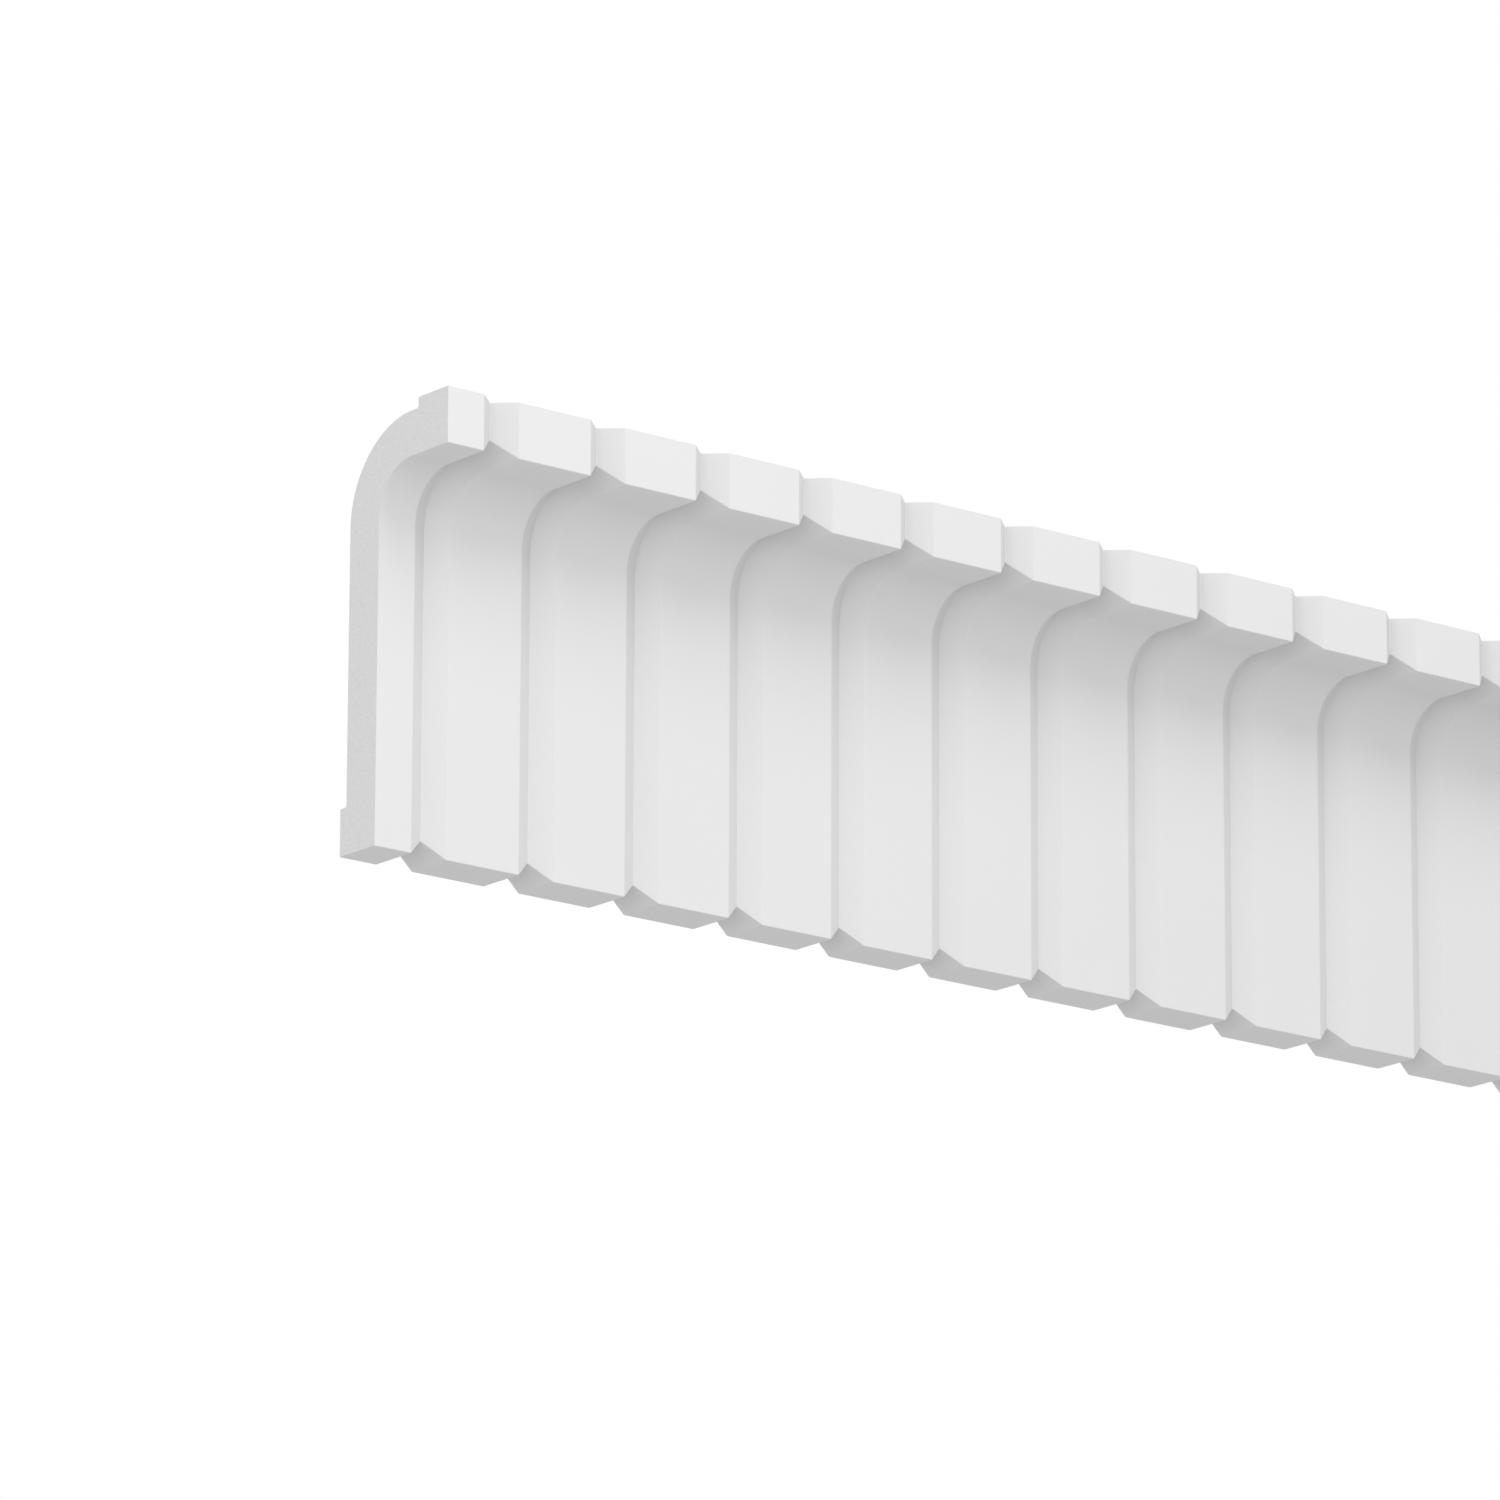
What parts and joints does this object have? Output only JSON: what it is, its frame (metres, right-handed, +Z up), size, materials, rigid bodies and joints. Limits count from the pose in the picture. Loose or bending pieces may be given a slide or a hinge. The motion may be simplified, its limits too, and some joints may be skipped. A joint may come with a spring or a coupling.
{
  "type": "cornice moulding length",
  "caption": "White cornice moulding length with an upright leg, a cove and a square lip, crossed by evenly spaced V-grooves, to cover the angle between a wall and a ceiling",
  "frame": {"origin": "on the back face of the wall pad, halfway up the pad at the land in the middle of the length, where the moulding bears on the wall", "axes": "+X along the length, to the right as seen from the front; +Y into the wall; +Z up to the ceiling; the grooved face looks along -Y"},
  "size_m": [0.36, 0.0382, 0.1004],
  "materials": {
    "primed_white_foam": "rigid moulded foam with a matt white primer coat"
  },
  "bodies": {
    "root": {"cornice_moulding": "primed_white_foam"}
  },
  "joints": []
}
